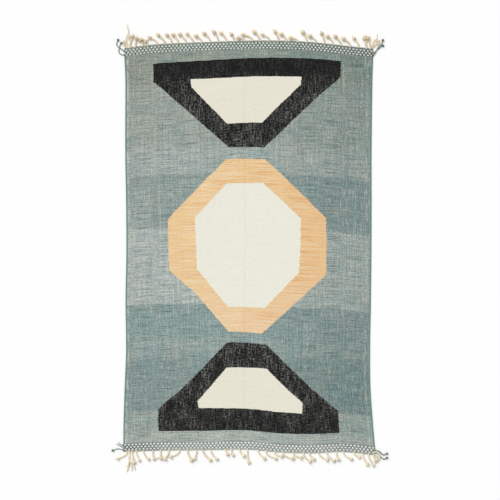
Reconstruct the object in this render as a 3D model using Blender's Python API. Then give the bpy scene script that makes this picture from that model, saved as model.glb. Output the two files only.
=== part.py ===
"""A flat-woven kilim lying on the floor, 1.5 m wide and 2.5 m long.

+Z is up, +Y points to the rug's head, and the origin is under the middle of the cloth, at floor level.
The rug is made of five pieces: the woven cloth, and at its head and at its foot an openwork net and a
corded edge that carries the knotted fringe. They meet edge to edge, a hair's breadth apart.
"""

import math
from collections import namedtuple

import bmesh
import bpy
from mathutils import Vector

# The cloth, in metres
CLOTH_THICKNESS = 0.0035
SELVEDGE_WIDTH = 0.012
SELVEDGE_THICKNESS = 0.0048
RIPPLE_HEIGHT = 0.0007
# Ripples in radians for each metre across and along the cloth
RIPPLES_ACROSS = 9
RIPPLES_ALONG = 5
RIPPLE_SKEW = 2
CLOTH_COLUMNS = 17
CLOTH_ROWS = 28

# The openwork net that finishes each end. Its lines run across the rug, measured out from the cloth.
# The gaps stand at twice the pitch of the real net.
SEAM_GAP = 0.0003
NET_THICKNESS = 0.004
NET_LINES = (SEAM_GAP, 0.0085, 0.0227, 0.0369, 0.0435)
GAP_COLUMNS = 2 * CLOTH_COLUMNS
GAP_HALF_WIDTH = 0.0085
GAP_HALF_HEIGHT = 0.0055

# The corded edge outside the net, which bulges between the tassels
EDGE_WIDTH = 0.0062
EDGE_THICKNESS = 0.005
EDGE_BULGE = 0.0022

# A tassel: a bundle of warp ends with an overhand knot and a short tail
STRAND_HALF_WIDTH = 0.0040
STRAND_HEIGHT = 0.0060
KNOT_HALF_WIDTH = 0.0085
KNOT_HALF_LENGTH = 0.0060
KNOT_HEIGHT = 0.0120
TAIL_LENGTH = 0.010
TAIL_HALF_WIDTH = 0.0050
STRAND_STEPS = 4

# A loose end of the net's yarn at a corner
YARN_HALF_WIDTH = 0.0022
YARN_HEIGHT = 0.0035
YARN_STEPS = 7

# The two selvedges wander a little. along is measured from the middle of the rug to its head.
SideSection = namedtuple("SideSection", "along left right")
SIDE_SECTIONS = (
    SideSection(-1.213, -0.762, 0.769),
    SideSection(-1.049, -0.760, 0.755),
    SideSection(-0.836, -0.753, 0.741),
    SideSection(-0.623, -0.745, 0.739),
    SideSection(-0.319, -0.748, 0.744),
    SideSection(-0.015, -0.743, 0.747),
    SideSection(0.290, -0.745, 0.748),
    SideSection(0.594, -0.750, 0.748),
    SideSection(1.020, -0.749, 0.753),
    SideSection(1.163, -0.755, 0.758),
)

# The woven ends are bowed. across runs from the left selvedge, -1, to the right one, 1.
EndSection = namedtuple("EndSection", "across foot head")
END_SECTIONS = (
    EndSection(-1.00, -1.190, 1.166),
    EndSection(-0.75, -1.182, 1.188),
    EndSection(-0.50, -1.180, 1.198),
    EndSection(-0.25, -1.178, 1.205),
    EndSection(0.00, -1.176, 1.211),
    EndSection(0.25, -1.193, 1.211),
    EndSection(0.50, -1.198, 1.202),
    EndSection(0.75, -1.190, 1.182),
    EndSection(1.00, -1.209, 1.161),
)

# The tassels as they lie, from the left. The root is how far right of the middle a tassel leaves the
# edge, the lean is in degrees from straight out, positive to the right, and the reach runs from the
# root to the knot. A tassel runs straight out for the share of its reach that is its hook.
TASSEL_HOOK = 0.35
Tassel = namedtuple("Tassel", "root lean reach")
HEAD_TASSELS = (
    Tassel(-0.722, 14, 0.070), Tassel(-0.688, 8, 0.052), Tassel(-0.644, -14, 0.037),
    Tassel(-0.612, -32, 0.027), Tassel(-0.554, -50, 0.062), Tassel(-0.509, -38, 0.066),
    Tassel(-0.466, -31, 0.059), Tassel(-0.428, -31, 0.059), Tassel(-0.380, -37, 0.063),
    Tassel(-0.337, -35, 0.062), Tassel(-0.284, -43, 0.051), Tassel(-0.234, -35, 0.062),
    Tassel(-0.184, -24, 0.062), Tassel(-0.135, -33, 0.059), Tassel(-0.086, -25, 0.045),
    Tassel(-0.027, -65, 0.039), Tassel(0.023, -58, 0.066), Tassel(0.069, -33, 0.061),
    Tassel(0.128, -51, 0.055), Tassel(0.182, -21, 0.057), Tassel(0.231, -39, 0.051),
    Tassel(0.297, -63, 0.046), Tassel(0.354, -22, 0.061), Tassel(0.412, -45, 0.055),
    Tassel(0.462, -16, 0.062), Tassel(0.516, -36, 0.059), Tassel(0.562, -33, 0.064),
    Tassel(0.619, -42, 0.061), Tassel(0.671, -29, 0.061), Tassel(0.717, -13, 0.059),
    Tassel(0.743, -14, 0.067),
)
FOOT_TASSELS = (
    Tassel(-0.739, -54, 0.071), Tassel(-0.725, -1, 0.103), Tassel(-0.709, 13, 0.066),
    Tassel(-0.683, 20, 0.056), Tassel(-0.640, 32, 0.058), Tassel(-0.583, 9, 0.051),
    Tassel(-0.535, 2, 0.046), Tassel(-0.484, -25, 0.056), Tassel(-0.420, -53, 0.065),
    Tassel(-0.371, 21, 0.063), Tassel(-0.316, -11, 0.052), Tassel(-0.277, 36, 0.073),
    Tassel(-0.229, 33, 0.066), Tassel(-0.139, 22, 0.028), Tassel(-0.105, 18, 0.033),
    Tassel(-0.054, 34, 0.045), Tassel(-0.007, 6, 0.076), Tassel(0.058, 38, 0.063),
    Tassel(0.106, 52, 0.075), Tassel(0.159, 56, 0.051), Tassel(0.209, 58, 0.069),
    Tassel(0.272, 59, 0.054), Tassel(0.332, 40, 0.064), Tassel(0.371, 35, 0.044),
    Tassel(0.427, 51, 0.063), Tassel(0.477, 39, 0.063), Tassel(0.534, 15, 0.045),
    Tassel(0.577, 47, 0.063), Tassel(0.640, 50, 0.041), Tassel(0.694, 23, 0.069),
    Tassel(0.730, 24, 0.071), Tassel(0.761, 26, 0.034),
)
Fringe = namedtuple("Fringe", "name way tassels")
FRINGES = (Fringe("head", 1, HEAD_TASSELS), Fringe("foot", -1, FOOT_TASSELS))

# The net's own yarn is left long at the corners. side is -1 for the left, and line is the net line that
# an end leaves. It starts at an angle from straight sideways, in degrees, and curls on by its turn, both
# positive away from the cloth.
YarnEnd = namedtuple("YarnEnd", "end side line start turn length")
YARN_ENDS = (
    YarnEnd("head", -1, 0, -8, 128, 0.104),
    YarnEnd("head", -1, 2, 62, 0, 0.056),
    YarnEnd("head", 1, 0, 62, -10, 0.112),
    YarnEnd("head", 1, 2, 72, -30, 0.060),
    YarnEnd("foot", -1, 0, -38, 0, 0.036),
    YarnEnd("foot", -1, 1, -27, 0, 0.040),
    YarnEnd("foot", -1, 2, -20, 45, 0.074),
    YarnEnd("foot", 1, 1, 14, 10, 0.070),
    YarnEnd("foot", 1, 3, 22, 6, 0.078),
)

# Colour as red, green and blue, and roughness
CLOTH_FINISH = ((0.300, 0.345, 0.325), 0.95)
NET_FINISH = ((0.120, 0.180, 0.170), 0.95)
FRINGE_FINISH = ((0.700, 0.580, 0.400), 0.95)


def smooth_between(stations, values, at):
    """The value at a place on the smooth curve that runs through the values at the stations."""
    at = min(max(at, stations[0]), stations[-1])
    k = min(sum(s <= at for s in stations), len(stations) - 1) - 1

    def slope(i):
        low, high = max(i - 1, 0), min(i + 1, len(stations) - 1)
        return (values[high] - values[low]) / (stations[high] - stations[low])

    span = stations[k + 1] - stations[k]
    t = (at - stations[k]) / span
    return (
        values[k] * (2 * t**3 - 3 * t**2 + 1)
        + slope(k) * span * (t**3 - 2 * t**2 + t)
        + values[k + 1] * (3 * t**2 - 2 * t**3)
        + slope(k + 1) * span * (t**3 - t**2)
    )


def selvedges(along):
    """Where the left and the right selvedge lie at a distance along the rug."""
    stations = [s.along for s in SIDE_SECTIONS]
    left = smooth_between(stations, [s.left for s in SIDE_SECTIONS], along)
    right = smooth_between(stations, [s.right for s in SIDE_SECTIONS], along)
    return left, right


def woven_end(way, across):
    """How far along the rug its woven head or foot lies, at a share of the width.

    The ends run straight from one column of the cloth to the next, so that the net fits against them.
    """
    stations = [s.across for s in END_SECTIONS]
    values = [s.head if way > 0 else s.foot for s in END_SECTIONS]
    column = (across + 1) / 2 * CLOTH_COLUMNS
    before = min(math.floor(column), CLOTH_COLUMNS - 1)
    near = smooth_between(stations, values, column_share(before))
    far = smooth_between(stations, values, column_share(before + 1))
    return near + (far - near) * (column - before)


def column_share(column):
    """Where a column of the cloth stands, from -1 at the left selvedge to 1 at the right."""
    return 2 * column / CLOTH_COLUMNS - 1


def on_cloth(across, along):
    """A point of the cloth, from shares of -1 to 1 of its width and of its length."""
    share = (along + 1) / 2
    y = woven_end(-1, across) * (1 - share) + woven_end(1, across) * share
    left, right = selvedges(y)
    return Vector((left + (right - left) * (across + 1) / 2, y, 0))


def beyond_end(way, across, out):
    """A point beside the cloth's head or foot, out metres away from it."""
    y = woven_end(way, across)
    left, right = selvedges(y)
    return Vector((left + (right - left) * (across + 1) / 2, y + way * out, 0))


def finish(name, colour, roughness):
    """A plain wool material."""
    material = bpy.data.materials.new(name)
    material.use_nodes = True
    shader = material.node_tree.nodes["Principled BSDF"]
    shader.inputs["Base Color"].default_value = (*colour, 1)
    shader.inputs["Roughness"].default_value = roughness
    shader.inputs["Metallic"].default_value = 0
    material.diffuse_color = (*colour, 1)
    return material


def add_object(name, bm, material):
    """Puts a closed mesh in the scene under its own name."""
    bmesh.ops.recalc_face_normals(bm, faces=bm.faces)
    mesh = bpy.data.meshes.new(name)
    bm.to_mesh(mesh)
    bm.free()
    mesh.materials.append(material)
    obj = bpy.data.objects.new(name, mesh)
    bpy.context.scene.collection.objects.link(obj)
    return obj


def raise_sheet(bm, height):
    """Gives a flat sheet its thickness. height is a number, or a function of a point of the sheet."""
    raised = bmesh.ops.extrude_face_region(bm, geom=bm.faces[:])["geom"]
    for vert in raised:
        if isinstance(vert, bmesh.types.BMVert):
            vert.co.z = height(vert.co) if callable(height) else height


def cloth_height(point):
    """The top of the cloth: thicker at its selvedges, and nowhere quite level."""
    left, right = selvedges(point.y)
    if min(point.x - left, right - point.x) < SELVEDGE_WIDTH / 2:
        return SELVEDGE_THICKNESS
    wave = math.sin(RIPPLES_ACROSS * point.x + RIPPLE_SKEW * point.y) * math.cos(RIPPLES_ALONG * point.y)
    return CLOTH_THICKNESS + RIPPLE_HEIGHT * wave


def make_cloth(material):
    """The woven cloth, with a narrow column along each selvedge and a flat underside."""
    selvedge_share = 2 * SELVEDGE_WIDTH / (SIDE_SECTIONS[0].right - SIDE_SECTIONS[0].left)
    stations = [column_share(k) for k in range(CLOTH_COLUMNS + 1)]
    stations = sorted(stations + [selvedge_share - 1, 1 - selvedge_share])
    bm = bmesh.new()
    bmesh.ops.create_grid(bm, x_segments=len(stations) - 1, y_segments=CLOTH_ROWS, size=1)
    for vert in bm.verts:
        column = round((vert.co.x + 1) / 2 * (len(stations) - 1))
        vert.co = on_cloth(stations[column], vert.co.y)
    raise_sheet(bm, cloth_height)
    underside = [f for f in bm.faces if all(v.co.z == 0 for v in f.verts)]
    bmesh.ops.dissolve_faces(bm, faces=underside, use_verts=True)
    return add_object("cloth", bm, material)


def make_net(way, name, material):
    """The openwork net beside one end: staggered rows of four-cornered gaps."""
    columns, lines = 2 * GAP_COLUMNS, len(NET_LINES) - 1
    half_length = (SIDE_SECTIONS[-1].right - SIDE_SECTIONS[-1].left) / 2
    bm = bmesh.new()
    bmesh.ops.create_grid(bm, x_segments=columns, y_segments=lines, size=1)
    centres = []
    for vert in bm.verts:
        column = round((vert.co.x + 1) / 2 * columns)
        line = round((vert.co.y + 1) / 2 * lines)
        # In units of a gap's half width and half height, so that one bevel opens both
        vert.co.x *= half_length / GAP_HALF_WIDTH
        vert.co.y = NET_LINES[line] / GAP_HALF_HEIGHT
        if 0 < line < lines and 0 < column < columns and (column + line) % 2 == 0:
            centres.append(vert)
    gaps = bmesh.ops.bevel(
        bm, geom=centres, offset=1, offset_type="OFFSET", affect="VERTICES",
        segments=1, profile=0.5, material=-1,
    )["faces"]
    bmesh.ops.delete(bm, geom=gaps, context="FACES")
    for vert in bm.verts:
        across = vert.co.x * GAP_HALF_WIDTH / half_length
        vert.co = beyond_end(way, across, vert.co.y * GAP_HALF_HEIGHT)
    raise_sheet(bm, NET_THICKNESS)
    for yarn_end in YARN_ENDS:
        if yarn_end.end == name:
            draw_yarn_end(bm, way, yarn_end)
    return add_object(name + "_net", bm, material)


def draw_out(bm, face, heading, stations):
    """Draws a wall face out along the floor. stations are (point, heading, half width, height)."""
    middle = face.calc_center_median()
    sideways = Vector((-heading.y, heading.x, 0))
    corners = [
        (math.copysign(1, (vert.co - middle).dot(sideways)), vert.co.z > middle.z)
        for vert in face.verts
    ]
    for point, way_out, half_width, height in stations:
        face = bmesh.ops.extrude_discrete_faces(bm, faces=[face])["faces"][0]
        sideways = Vector((-way_out.y, way_out.x, 0))
        for vert, (side, top) in zip(face.verts, corners):
            vert.co = point + sideways * side * half_width
            vert.co.z = height if top else 0


def wall_face_near(bm, point, outward):
    """The upright face that looks outward and lies nearest a point."""
    walls = [f for f in bm.faces if f.normal.dot(outward) > 0.7 and abs(f.normal.z) < 0.1]
    return min(walls, key=lambda f: (f.calc_center_median() - point).length)


def draw_yarn_end(bm, way, yarn_end):
    """One loose end of the net's yarn, curling out from the net's end wall."""
    bmesh.ops.recalc_face_normals(bm, faces=bm.faces)
    outward = Vector((yarn_end.side, 0, 0))
    out = (NET_LINES[yarn_end.line] + NET_LINES[yarn_end.line + 1]) / 2
    face = wall_face_near(bm, beyond_end(way, yarn_end.side, out), outward)
    point = face.calc_center_median()
    point.z = 0
    stations = []
    for k in range(YARN_STEPS):
        angle = math.radians(yarn_end.start + yarn_end.turn * (k + 0.5) / YARN_STEPS)
        heading = Vector((yarn_end.side * math.cos(angle), way * math.sin(angle), 0))
        point = point + heading * yarn_end.length / YARN_STEPS
        stations.append((point, heading, YARN_HALF_WIDTH, YARN_HEIGHT))
    draw_out(bm, face, outward, stations)


def tassel_stations(root, fringe, tassel):
    """A tassel's path along the floor: straight out of the edge, then bent over towards its lean."""
    lean = math.radians(tassel.lean)
    knot = root + Vector((math.sin(lean), fringe.way * math.cos(lean), 0)) * tassel.reach
    bend = root + Vector((0, fringe.way * tassel.reach * TASSEL_HOOK, 0))
    stations = []
    for k in range(1, STRAND_STEPS + 1):
        t = k / STRAND_STEPS
        heading = ((bend - root) * (1 - t) + (knot - bend) * t).normalized()
        point = root * (1 - t) ** 2 + bend * 2 * t * (1 - t) + knot * t**2
        stations.append((point, heading, STRAND_HALF_WIDTH, STRAND_HEIGHT))
    waist = stations.pop()[0]
    for out, half_width, height in (
        (-KNOT_HALF_LENGTH, STRAND_HALF_WIDTH, STRAND_HEIGHT),
        (0, KNOT_HALF_WIDTH, KNOT_HEIGHT),
        (KNOT_HALF_LENGTH, STRAND_HALF_WIDTH, STRAND_HEIGHT),
        (KNOT_HALF_LENGTH + TAIL_LENGTH, TAIL_HALF_WIDTH, STRAND_HEIGHT / 2),
    ):
        stations.append((waist + heading * out, heading, half_width, height))
    return stations


def make_fringe(fringe, material):
    """The corded edge of one end with the tassels that grow from it."""
    edge_start = NET_LINES[-1] + SEAM_GAP
    edge_end = edge_start + EDGE_WIDTH
    left = beyond_end(fringe.way, -1, edge_end).x
    width = beyond_end(fringe.way, 1, edge_end).x - left
    roots = [2 * (tassel.root - left) / width - 1 for tassel in fringe.tassels]
    root_share = 2 * STRAND_HALF_WIDTH / width
    # Stations along the edge: both sides of each root, each bulge between two roots, and the places
    # between roots where a column of the cloth ends, as the edge turns a little there
    stops = [(across + side * root_share, 0) for across in roots for side in (-1, 1)]
    stops += [((a + b) / 2, EDGE_BULGE) for a, b in zip(roots, roots[1:])]
    for column in range(CLOTH_COLUMNS + 1):
        across = column_share(column)
        if min(abs(across - stop) for stop, _ in stops) > root_share / 2:
            if min(abs(across - root) for root in roots) > root_share:
                stops.append((across, EDGE_BULGE / 2))
    stops.sort()
    bm = bmesh.new()
    rungs = [
        (
            bm.verts.new(beyond_end(fringe.way, across, edge_start)),
            bm.verts.new(beyond_end(fringe.way, across, edge_end + bulge)),
        )
        for across, bulge in stops
    ]
    for (inner, outer), (next_inner, next_outer) in zip(rungs, rungs[1:]):
        bm.faces.new((inner, outer, next_outer, next_inner))
    raise_sheet(bm, EDGE_THICKNESS)
    bmesh.ops.recalc_face_normals(bm, faces=bm.faces)
    outward = Vector((0, fringe.way, 0))
    for across, tassel in zip(roots, fringe.tassels):
        root = beyond_end(fringe.way, across, edge_end)
        face = wall_face_near(bm, root, outward)
        draw_out(bm, face, outward, tassel_stations(root, fringe, tassel))
    return add_object(fringe.name + "_fringe", bm, material)


def main():
    for old in list(bpy.data.objects):
        bpy.data.objects.remove(old)
    cloth_wool = finish("cloth_wool", *CLOTH_FINISH)
    net_yarn = finish("net_yarn", *NET_FINISH)
    warp_ends = finish("warp_ends", *FRINGE_FINISH)
    make_cloth(cloth_wool)
    for fringe in FRINGES:
        make_net(fringe.way, fringe.name, net_yarn)
        make_fringe(fringe, warp_ends)


main()
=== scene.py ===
"""Dresses the berber kilim: the woven cloth, its openwork ends, its corded edges and its tassels.

Every size is in metres. +Z is up, +Y is the rug's head and the origin is under the middle of the cloth.
"""

import math
import random
from collections import namedtuple
from types import SimpleNamespace

import bmesh
import bpy
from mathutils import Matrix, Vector, noise


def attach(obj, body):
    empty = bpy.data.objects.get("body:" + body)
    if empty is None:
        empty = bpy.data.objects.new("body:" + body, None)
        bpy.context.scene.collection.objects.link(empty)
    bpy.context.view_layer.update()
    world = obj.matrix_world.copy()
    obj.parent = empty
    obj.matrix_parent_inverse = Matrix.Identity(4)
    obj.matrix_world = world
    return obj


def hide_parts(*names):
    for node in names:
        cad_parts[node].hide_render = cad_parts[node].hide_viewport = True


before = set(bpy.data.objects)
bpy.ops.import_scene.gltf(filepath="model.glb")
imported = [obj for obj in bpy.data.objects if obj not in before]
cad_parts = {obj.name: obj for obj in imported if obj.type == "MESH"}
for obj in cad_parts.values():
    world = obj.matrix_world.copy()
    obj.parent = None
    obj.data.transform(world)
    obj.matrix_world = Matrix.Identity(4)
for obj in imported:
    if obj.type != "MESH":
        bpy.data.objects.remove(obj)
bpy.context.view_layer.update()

bl_info = {
    "name": "Berber kilim",
    "version": (1, 0, 0),
    "blender": (4, 5, 0),
    "location": "View3D > Sidebar > Kilim",
    "description": "Weaves a kilim with openwork ends and a knotted fringe",
    "category": "Add Mesh",
}

# The two selvedges wander a little. along is measured from the middle of the rug to its head.
SideSection = namedtuple("SideSection", "along left right")
SIDE_SECTIONS = (
    SideSection(-1.213, -0.762, 0.769),
    SideSection(-1.049, -0.760, 0.755),
    SideSection(-0.836, -0.753, 0.741),
    SideSection(-0.623, -0.745, 0.739),
    SideSection(-0.319, -0.748, 0.744),
    SideSection(-0.015, -0.743, 0.747),
    SideSection(0.290, -0.745, 0.748),
    SideSection(0.594, -0.750, 0.748),
    SideSection(1.020, -0.749, 0.753),
    SideSection(1.163, -0.755, 0.758),
)

# The woven ends are bowed. across runs from the left selvedge, -1, to the right one, 1.
EndSection = namedtuple("EndSection", "across foot head")
END_SECTIONS = (
    EndSection(-1.00, -1.190, 1.166),
    EndSection(-0.75, -1.182, 1.188),
    EndSection(-0.50, -1.180, 1.198),
    EndSection(-0.25, -1.178, 1.205),
    EndSection(0.00, -1.176, 1.211),
    EndSection(0.25, -1.193, 1.211),
    EndSection(0.50, -1.198, 1.202),
    EndSection(0.75, -1.190, 1.182),
    EndSection(1.00, -1.209, 1.161),
)

# The tassels as they lie, from the left. The root is how far right of the middle a tassel leaves the
# edge, the lean is in degrees from straight out, positive to the right, and the reach runs from the
# root to the knot. It runs straight out for a share of its reach, the hook, before it leans over.
Tassel = namedtuple("Tassel", "root lean reach")
HEAD_TASSELS = (
    Tassel(-0.722, 14, 0.070), Tassel(-0.688, 8, 0.052), Tassel(-0.644, -14, 0.037),
    Tassel(-0.612, -32, 0.027), Tassel(-0.554, -50, 0.062), Tassel(-0.509, -38, 0.066),
    Tassel(-0.466, -31, 0.059), Tassel(-0.428, -31, 0.059), Tassel(-0.380, -37, 0.063),
    Tassel(-0.337, -35, 0.062), Tassel(-0.284, -43, 0.051), Tassel(-0.234, -35, 0.062),
    Tassel(-0.184, -24, 0.062), Tassel(-0.135, -33, 0.059), Tassel(-0.086, -25, 0.045),
    Tassel(-0.027, -65, 0.039), Tassel(0.023, -58, 0.066), Tassel(0.069, -33, 0.061),
    Tassel(0.128, -51, 0.055), Tassel(0.182, -21, 0.057), Tassel(0.231, -39, 0.051),
    Tassel(0.297, -63, 0.046), Tassel(0.354, -22, 0.061), Tassel(0.412, -45, 0.055),
    Tassel(0.462, -16, 0.062), Tassel(0.516, -36, 0.059), Tassel(0.562, -33, 0.064),
    Tassel(0.619, -42, 0.061), Tassel(0.671, -29, 0.061), Tassel(0.717, -13, 0.059),
    Tassel(0.743, -14, 0.067),
)
FOOT_TASSELS = (
    Tassel(-0.739, -54, 0.071), Tassel(-0.725, -1, 0.103), Tassel(-0.709, 13, 0.066),
    Tassel(-0.683, 20, 0.056), Tassel(-0.640, 32, 0.058), Tassel(-0.583, 9, 0.051),
    Tassel(-0.535, 2, 0.046), Tassel(-0.484, -25, 0.056), Tassel(-0.420, -53, 0.065),
    Tassel(-0.371, 21, 0.063), Tassel(-0.316, -11, 0.052), Tassel(-0.277, 36, 0.073),
    Tassel(-0.229, 33, 0.066), Tassel(-0.139, 22, 0.028), Tassel(-0.105, 18, 0.033),
    Tassel(-0.054, 34, 0.045), Tassel(-0.007, 6, 0.076), Tassel(0.058, 38, 0.063),
    Tassel(0.106, 52, 0.075), Tassel(0.159, 56, 0.051), Tassel(0.209, 58, 0.069),
    Tassel(0.272, 59, 0.054), Tassel(0.332, 40, 0.064), Tassel(0.371, 35, 0.044),
    Tassel(0.427, 51, 0.063), Tassel(0.477, 39, 0.063), Tassel(0.534, 15, 0.045),
    Tassel(0.577, 47, 0.063), Tassel(0.640, 50, 0.041), Tassel(0.694, 23, 0.069),
    Tassel(0.730, 24, 0.071), Tassel(0.761, 26, 0.034),
)
TASSEL_HOOK = 0.35

# How far beyond the woven end the corded edge lies and the tassels leave it, and how deep they are rooted
EDGE_OUT = 0.0464
ROOT_OUT = 0.0500
ROOT_DEPTH = 0.006
ROOTED_SHARE = 0.08

# The net: points along one of its waves, how far its cords stray, and the dye that it fades to
WAVE_STEPS = 14
CORD_STRAY = 0.0009
FADED_DYE = (226, 230, 222)

# The corded edge: its points, and the length of one turn
EDGE_STEPS = 1100
EDGE_TWIST = 0.016

# From one point to the next along a tassel and along a loose thread, and how far a tassel swerves
STRAND_STEP = 0.0020
THREAD_STEP = 0.0016
SWERVE = 0.0016

# A loose thread: the length of one turn of net yarn and of a warp end, and the width of a knot in net yarn
YARN_TWIST = 0.0125
WARP_TWIST = 0.022
YARN_KNOT = 0.0170

# The cloth's ripples, in radians for each metre
RIPPLES_ACROSS = 9
RIPPLES_ALONG = 5
RIPPLE_SKEW = 2

# The foot's net has faded more, and is twined a little finer. variation is how bright the yarn of a net is at
# its left corner, near its middle and at its right corner. slack is the size of its yarn and knots.
End = namedtuple("End", "name way tassels unravelled fade worn slack seed")
ENDS = (
    End("head", 1, HEAD_TASSELS, (), 0.0, (0.98, 1.24, 0.88), 1.0, 3),
    End("foot", -1, FOOT_TASSELS, (1,), 0.22, (0.55, 1.04, 0.80), 0.92, 4),
)

# Threads left long at the corners, as places on the floor along each: the net's own two-coloured yarn,
# and loose warp ends. A thread may end in a knot of its own.
Thread = namedtuple("Thread", "end yarn thickness knotted places")
THREADS = (
    Thread("head", "net", 0.0066, True, (
        (-0.748, 1.169), (-0.764, 1.175), (-0.782, 1.181), (-0.789, 1.197), (-0.785, 1.219), (-0.782, 1.233),
        (-0.773, 1.247),
    )),
    Thread("head", "net", 0.0062, True, (
        (-0.748, 1.192), (-0.758, 1.195), (-0.772, 1.209), (-0.790, 1.220), (-0.801, 1.234), (-0.801, 1.249),
        (-0.793, 1.265),
    )),
    Thread("head", "net", 0.0060, True, (
        (0.748, 1.166), (0.762, 1.172), (0.776, 1.196), (0.786, 1.216), (0.796, 1.228), (0.808, 1.238),
        (0.816, 1.252), (0.817, 1.264),
    )),
    Thread("head", "net", 0.0060, True, (
        (0.748, 1.178), (0.766, 1.188), (0.780, 1.204), (0.792, 1.212), (0.803, 1.222), (0.818, 1.230),
    )),
    Thread("head", "warp", 0.0072, False, (
        (-0.722, 1.221), (-0.737, 1.237), (-0.743, 1.259), (-0.743, 1.276), (-0.738, 1.292),
        (-0.729, 1.309), (-0.732, 1.325), (-0.735, 1.339), (-0.737, 1.351),
    )),
    Thread("head", "warp", 0.0085, False, (
        (-0.739, 1.216), (-0.753, 1.226), (-0.758, 1.237), (-0.761, 1.251), (-0.758, 1.260),
        (-0.750, 1.254), (-0.751, 1.242), (-0.746, 1.231),
    )),
    Thread("head", "warp", 0.0095, False, (
        (-0.709, 1.266), (-0.722, 1.269), (-0.730, 1.274), (-0.724, 1.284), (-0.714, 1.291),
        (-0.706, 1.293),
    )),
    Thread("head", "warp", 0.0080, False, (
        (-0.682, 1.278), (-0.677, 1.269), (-0.670, 1.256), (-0.663, 1.252), (-0.656, 1.259),
        (-0.651, 1.269),
    )),
    Thread("head", "warp", 0.0080, False, (
        (-0.651, 1.269), (-0.644, 1.260), (-0.634, 1.252), (-0.623, 1.257), (-0.612, 1.266),
        (-0.604, 1.275),
    )),
    Thread("head", "warp", 0.0105, False, (
        (0.717, 1.246), (0.710, 1.257), (0.697, 1.270), (0.701, 1.282), (0.708, 1.289), (0.721, 1.285),
        (0.725, 1.275), (0.722, 1.264), (0.717, 1.252),
    )),
    Thread("head", "warp", 0.0075, False, (
        (0.751, 1.216), (0.756, 1.232), (0.758, 1.246), (0.764, 1.260), (0.773, 1.267), (0.780, 1.260),
        (0.778, 1.246), (0.770, 1.235), (0.760, 1.229),
    )),
    Thread("head", "warp", 0.0075, False, (
        (0.754, 1.217), (0.767, 1.230), (0.782, 1.239), (0.795, 1.246), (0.803, 1.257), (0.796, 1.265),
        (0.788, 1.257), (0.792, 1.246),
    )),
    Thread("head", "warp", 0.0060, False, (
        (0.770, 1.235), (0.776, 1.249), (0.778, 1.266), (0.781, 1.280), (0.783, 1.292),
    )),
    Thread("foot", "net", 0.0052, True, (
        (-0.748, -1.232), (-0.762, -1.229), (-0.780, -1.224), (-0.792, -1.221), (-0.806, -1.224),
        (-0.826, -1.232),
    )),
    Thread("foot", "net", 0.0050, False, (
        (-0.748, -1.216), (-0.764, -1.212), (-0.780, -1.204), (-0.796, -1.196),
    )),
    Thread("foot", "net", 0.0050, False, (
        (-0.748, -1.206), (-0.762, -1.203), (-0.774, -1.197), (-0.784, -1.190),
    )),
    Thread("foot", "net", 0.0082, True, (
        (0.760, -1.228), (0.778, -1.232), (0.796, -1.238), (0.808, -1.250), (0.822, -1.258), (0.842, -1.250),
    )),
    Thread("foot", "warp", 0.0105, False, (
        (0.752, -1.248), (0.766, -1.241), (0.780, -1.241), (0.791, -1.249), (0.796, -1.263), (0.795, -1.280),
        (0.788, -1.295), (0.779, -1.287), (0.783, -1.268),
    )),
    Thread("foot", "net", 0.0082, True, (
        (0.758, -1.250), (0.776, -1.246), (0.790, -1.252), (0.800, -1.266), (0.812, -1.278), (0.826, -1.284),
        (0.842, -1.276),
    )),
    Thread("foot", "warp", 0.0100, False, (
        (-0.725, -1.292), (-0.730, -1.312), (-0.733, -1.334), (-0.737, -1.356),
    )),
    Thread("foot", "warp", 0.0085, False, (
        (-0.724, -1.290), (-0.715, -1.306), (-0.708, -1.328), (-0.709, -1.350),
    )),
    Thread("foot", "warp", 0.0080, False, (
        (-0.722, -1.296), (-0.704, -1.310), (-0.694, -1.328), (-0.690, -1.345),
    )),
    Thread("foot", "warp", 0.0055, False, (
        (0.762, -1.258), (0.776, -1.264), (0.786, -1.284), (0.782, -1.304), (0.772, -1.310), (0.768, -1.296),
        (0.774, -1.280),
    )),
    Thread("foot", "warp", 0.0080, False, (
        (-0.574, -1.282), (-0.561, -1.279), (-0.538, -1.272),
    )),
)

# The dye of the ground changes from one batch of yarn to the next. Each batch starts at a distance
# along the rug and blends in over a length. Its colour is given at the left and at the right selvedge.
Batch = namedtuple("Batch", "start blend left right")
BATCHES = (
    Batch(-1.300, 0.000, (162, 170, 163), (158, 168, 162)),
    Batch(-1.125, 0.030, (149, 160, 155), (138, 154, 150)),
    Batch(-1.002, 0.004, (123, 142, 142), (97, 123, 124)),
    Batch(-0.670, 0.060, (142, 158, 156), (119, 138, 137)),
    Batch(-0.575, 0.040, (130, 152, 151), (116, 136, 139)),
    Batch(-0.420, 0.040, (126, 149, 148), (112, 133, 137)),
    Batch(-0.3575, 0.004, (175, 183, 180), (148, 161, 158)),
    Batch(0.108, 0.006, (146, 159, 157), (112, 133, 135)),
    Batch(0.400, 0.040, (136, 150, 148), (106, 129, 131)),
    Batch(0.437, 0.006, (162, 171, 168), (139, 152, 149)),
    Batch(0.605, 0.060, (152, 159, 153), (128, 142, 138)),
    Batch(1.000, 0.080, (140, 145, 136), (108, 126, 119)),
)

# The place that the camera looks straight down on, and the floor's gap below the rug and half size
VIEW_CENTRE = (0.0091, -0.0122)
FLOOR_GAP = 0.0006
FLOOR_REACH = 60

# The lamp's width in the sky and its tilts, in degrees
LAMP_WIDTH = 38
LAMP_TILTS = (-38, -34)

# From one weft to the next but one
WEFT_SPACING = 0.0026

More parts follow.
